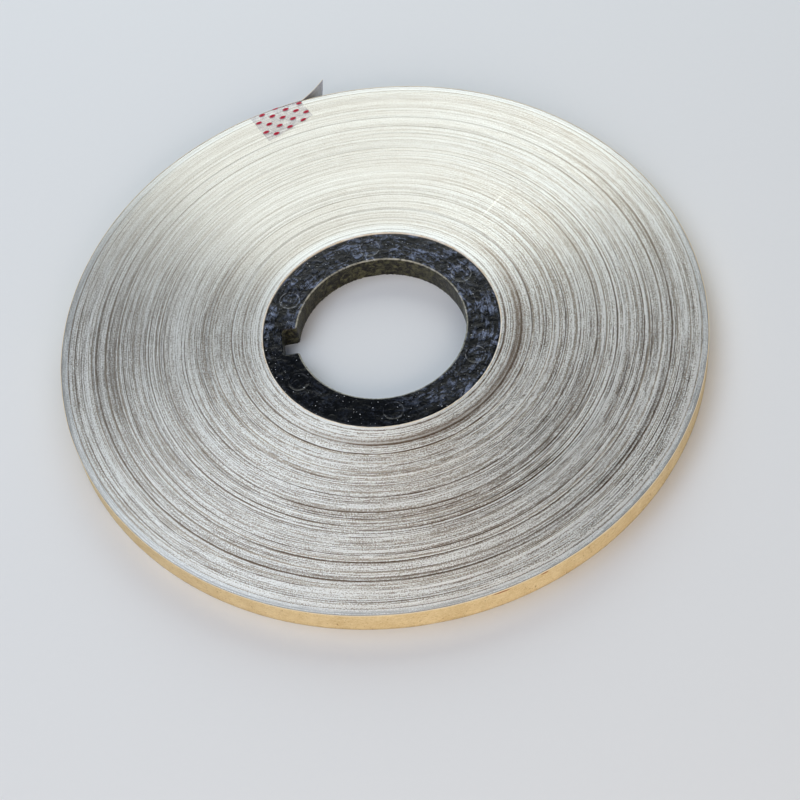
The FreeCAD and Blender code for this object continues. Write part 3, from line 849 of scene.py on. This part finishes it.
def wind_last_turn(sizes, inner, outer):
    """One strip: a full turn that spirals out clockwise, and then the free tail, cut slanted."""
    gauge = LINER_GAUGE + FOIL_GAUGE
    bm, first, edges = strip_outline(inner - gauge, outer - gauge)
    step = -FULL_TURN / sizes.steps
    for i in range(sizes.steps):
        outward = polar(gauge / sizes.steps, TAIL_ANGLE + step * (i + 1))
        edges = pull(bm, edges, Matrix.Translation(outward) @ Matrix.Rotation(step, 4, "Z"))
    stride = sizes.tail_length / TAIL_STEPS
    direction = TAIL_ANGLE - math.pi / 2
    place = polar(inner, TAIL_ANGLE)
    lifted = 0.0
    tail = set()
    for i in range(TAIL_STEPS):
        travelled = stride * (i + 1)
        wanted = sizes.tail_lift * smooth_step(travelled / LIFT_OVER) + travelled / sizes.tail_curl
        bend = wanted - lifted
        lifted = wanted
        turn = about(place, Matrix.Rotation(bend, 4, "Z"))
        place = place + polar(stride, direction + lifted)
        edges = pull(bm, edges, Matrix.Translation(polar(stride, direction + lifted)) @ turn)
        tail.update(vert for edge in edges for vert in edge.verts)
    heading = direction + lifted
    slant = polar(TAPE_WIDTH, heading, -sizes.tail_slant)
    bmesh.ops.bisect_plane(bm, geom=connected(tail), dist=WELD_DISTANCE, clear_outer=True,
                           plane_co=place + Z_AXIS * TAPE_WIDTH, plane_no=slant)
    open_ends = [edge for edge in bm.edges if edge.is_boundary]
    bmesh.ops.holes_fill(bm, edges=open_ends, sides=0)
    bmesh.ops.recalc_face_normals(bm, faces=bm.faces)
    return bm


def connected(verts):
    """The vertices with the edges and faces that lie wholly among them."""
    among = set(verts)
    edges = {edge for vert in verts for edge in vert.link_edges if edge.other_vert(vert) in among}
    faces = {face for vert in verts for face in vert.link_faces if among.issuperset(face.verts)}
    return [*verts, *edges, *faces]


def ruffle(bm, amount):
    """Small waves in the strip, and a softly frayed upper edge."""
    for vert in bm.verts:
        outward = Vector((vert.co.x, vert.co.y, 0)).normalized()
        vert.co += outward * amount * noise.noise(vert.co / WAVE_LENGTH)
        if vert.co.z > TAPE_WIDTH - 0.1 * MM:
            vert.co.z += 0.8 * amount * noise.noise(vert.co / FRAY_LENGTH)


class TAPEROLL_OT_last_turn(BuildPiece, bpy.types.Operator):
    """Winds the last turn of foil and of liner, each with its free end at the tail"""
    bl_idname = "taperoll.last_turn"
    bl_label = "Last Turn and Tail"

    def execute(self, context):
        sizes = context.scene.tape_roll_strip
        strips = (
            ("last_turn_foil", PACK_RADIUS, FOIL_RADIUS, foil_material(sizes), "foil_face",
             ["outer_foil_turn", "tail_foil"]),
            ("last_turn_liner", FOIL_RADIUS, ROLL_RADIUS, kraft_material(sizes), "kraft_liner",
             ["outer_liner_turn", "tail_liner"]),
        )
        for name, inner, outer, material, slot, nodes in strips:
            bm = wind_last_turn(sizes, inner, outer)
            ruffle(bm, STRIP_RUFFLE)
            piece = finished(bm, name, material, body=None, replaces=nodes)
            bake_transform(piece)
        return {"FINISHED"}


class TAPEROLL_OT_sticker(BuildPiece, bpy.types.Operator):
    """Sticks the printed film to the rim and folds it over the upper face"""
    bl_idname = "taperoll.sticker"
    bl_label = "Closure Sticker"

    def execute(self, context):
        sizes = context.scene.tape_roll_sticker
        bm = bmesh.new()
        bmesh.ops.create_grid(bm, x_segments=FILM_COLUMNS, y_segments=FILM_ROWS, size=1.0,
                              calc_uvs=True)
        layer = bm.loops.layers.uv.verify()
        flat = {vert: film_place(sizes, vert.co.x, (vert.co.y + 1) / 2) for vert in bm.verts}
        for face in bm.faces:
            for loop in face.loops:
                across, along = flat[loop.vert]
                loop[layer].uv = (across / MM, along / MM)
        for vert in bm.verts:
            vert.co = wrapped(sizes, *flat[vert])
        bmesh.ops.recalc_face_normals(bm, faces=bm.faces)
        piece = finished(bm, "closure_sticker", film_material(sizes), body=None,
                         replaces=["closure_band", "closure_flap"])
        solid = piece.modifiers.new("gauge", "SOLIDIFY")
        solid.thickness = sizes.gauge
        solid.offset = 1.0
        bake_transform(piece)
        return {"FINISHED"}


def film_place(sizes, across, along):
    """Flat place on the film, in metres: across the strip, and along it from the rim's foot."""
    band = TAPE_WIDTH - BAND_BOTTOM
    reach = sizes.long_side + (sizes.short_side - sizes.long_side) * (across + 1) / 2
    return across * sizes.width / 2, along * (band + reach)


def wrapped(sizes, across, along):
    """Takes a flat place on the film round the rim's upper edge and on to the face."""
    rim_height = TAPE_WIDTH - BAND_BOTTOM - FOLD_RADIUS
    arc = FOLD_RADIUS * math.pi / 2
    radius = ROLL_RADIUS + FILM_LIFT
    height = BAND_BOTTOM + along
    if along > rim_height + arc:
        radius = ROLL_RADIUS + FILM_LIFT - FOLD_RADIUS - (along - rim_height - arc)
        height = TAPE_WIDTH + FILM_LIFT
    elif along > rim_height:
        turn = (along - rim_height) / FOLD_RADIUS
        radius = ROLL_RADIUS + FILM_LIFT - FOLD_RADIUS * (1 - math.cos(turn))
        height = TAPE_WIDTH + FILM_LIFT - FOLD_RADIUS * (1 - math.sin(turn))
    drift = (along - rim_height) * math.tan(sizes.skew)
    over_face = smooth_step((along - rim_height - arc) / (2 * MM))
    pucker = PUCKER * (1 + noise.noise(Vector((across, along, 0)) / PUCKER_LENGTH))
    local = Vector((across + drift, radius, 0))
    if along <= rim_height + arc:
        turn = STICKER_ANGLE - local.x / ROLL_RADIUS
        return polar(radius + pucker * (1 - over_face), turn, height)
    sagitta = ROLL_RADIUS - math.sqrt(ROLL_RADIUS ** 2 - across ** 2)
    flat = Vector((local.x, radius - sagitta * max(0.0, 1 - (along - rim_height - arc) / (4 * MM)), 0))
    placed = Matrix.Rotation(STICKER_ANGLE - math.pi / 2, 3, "Z") @ flat
    return Vector((placed.x, placed.y, height + pucker * over_face))


class TAPEROLL_OT_stage(BuildPiece, bpy.types.Operator):
    """Sets up the floor, the soft lights and the camera"""
    bl_idname = "taperoll.stage"
    bl_label = "Stage"

    def execute(self, context):
        sizes = context.scene.tape_roll_stage
        bm = bmesh.new()
        bmesh.ops.create_grid(bm, x_segments=8, y_segments=8, size=FLOOR_HALF_SIZE)
        floor = finished(bm, "floor", floor_material(sizes), body=None)
        for name, settings in LIGHTS.items():
            soft_light(name, *settings)
        world = bpy.data.worlds.new("studio")
        world.use_nodes = True
        background = world.node_tree.nodes["Background"]
        background.inputs["Color"].default_value = linear(SKY_COLOUR)
        background.inputs["Strength"].default_value = SKY_STRENGTH
        context.scene.world = world
        context.scene.view_settings.view_transform = "Standard"
        place_camera(context.scene, sizes)
        return {"FINISHED"}


def soft_light(name, azimuth, elevation, width, height, power, code):
    """A soft light that faces the roll, placed by its angles in degrees."""
    light = bpy.data.lights.new(name, "AREA")
    light.shape = "RECTANGLE"
    light.size = width
    light.size_y = height
    light.energy = power
    light.color = linear(code)[:3]
    rise = math.radians(elevation)
    direction = polar(math.cos(rise), math.radians(azimuth), math.sin(rise))
    lamp = bpy.data.objects.new(name, light)
    lamp.location = direction * LIGHT_DISTANCE
    lamp.rotation_euler = direction.to_track_quat("Z", "Y").to_euler()
    bpy.context.scene.collection.objects.link(lamp)


def place_camera(scene, sizes):
    """A camera on a sphere round its aim, rolled about its line of sight."""
    camera = bpy.data.objects.new("camera", bpy.data.cameras.new("camera"))
    camera.data.lens = sizes.lens
    camera.data.sensor_width = 36
    camera.data.clip_start = 0.01
    aim = Vector((sizes.aim[0], sizes.aim[1], TAPE_WIDTH))
    azimuth, elevation = sizes.camera_azimuth, sizes.camera_elevation
    back = Vector((-math.sin(azimuth) * math.cos(elevation), -math.cos(azimuth) * math.cos(elevation),
                   math.sin(elevation)))
    right = back.cross(Z_AXIS) * -1
    right.normalize()
    upright = Matrix((right, back.cross(right), back)).transposed()
    rolled = upright @ Matrix.Rotation(-sizes.camera_roll, 3, "Z")
    camera.matrix_world = Matrix.Translation(aim + back * sizes.camera_distance) @ rolled.to_4x4()
    scene.collection.objects.link(camera)
    scene.camera = camera


class TAPEROLL_PT_panel(bpy.types.Panel):
    """Lists the pieces of the roll in the order in which they are built"""
    bl_idname = "TAPEROLL_PT_panel"
    bl_label = "Foil Tape Roll"
    bl_space_type = "VIEW_3D"
    bl_region_type = "UI"
    bl_category = "Tape Roll"

    def draw(self, context):
        for operator in OPERATORS:
            self.layout.operator(operator.bl_idname)


GROUPS = {
    "tape_roll_core": CoreSizes,
    "tape_roll_winding": WindingSizes,
    "tape_roll_strip": StripSizes,
    "tape_roll_sticker": StickerSizes,
    "tape_roll_stage": StageSizes,
}
OPERATORS = (
    TAPEROLL_OT_core,
    TAPEROLL_OT_core_wrap,
    TAPEROLL_OT_winding,
    TAPEROLL_OT_last_turn,
    TAPEROLL_OT_sticker,
    TAPEROLL_OT_stage,
)


def register():
    for name, group in GROUPS.items():
        bpy.utils.register_class(group)
        setattr(bpy.types.Scene, name, PointerProperty(type=group))
    for item in (*OPERATORS, TAPEROLL_PT_panel):
        bpy.utils.register_class(item)


def unregister():
    for item in (TAPEROLL_PT_panel, *reversed(OPERATORS)):
        bpy.utils.unregister_class(item)
    for name, group in reversed(GROUPS.items()):
        delattr(bpy.types.Scene, name)
        bpy.utils.unregister_class(group)


def main():
    """Builds everything."""
    register()
    for operator in OPERATORS:
        group, name = operator.bl_idname.split(".")
        getattr(getattr(bpy.ops, group), name)()


if __name__ == "__main__":
    main()
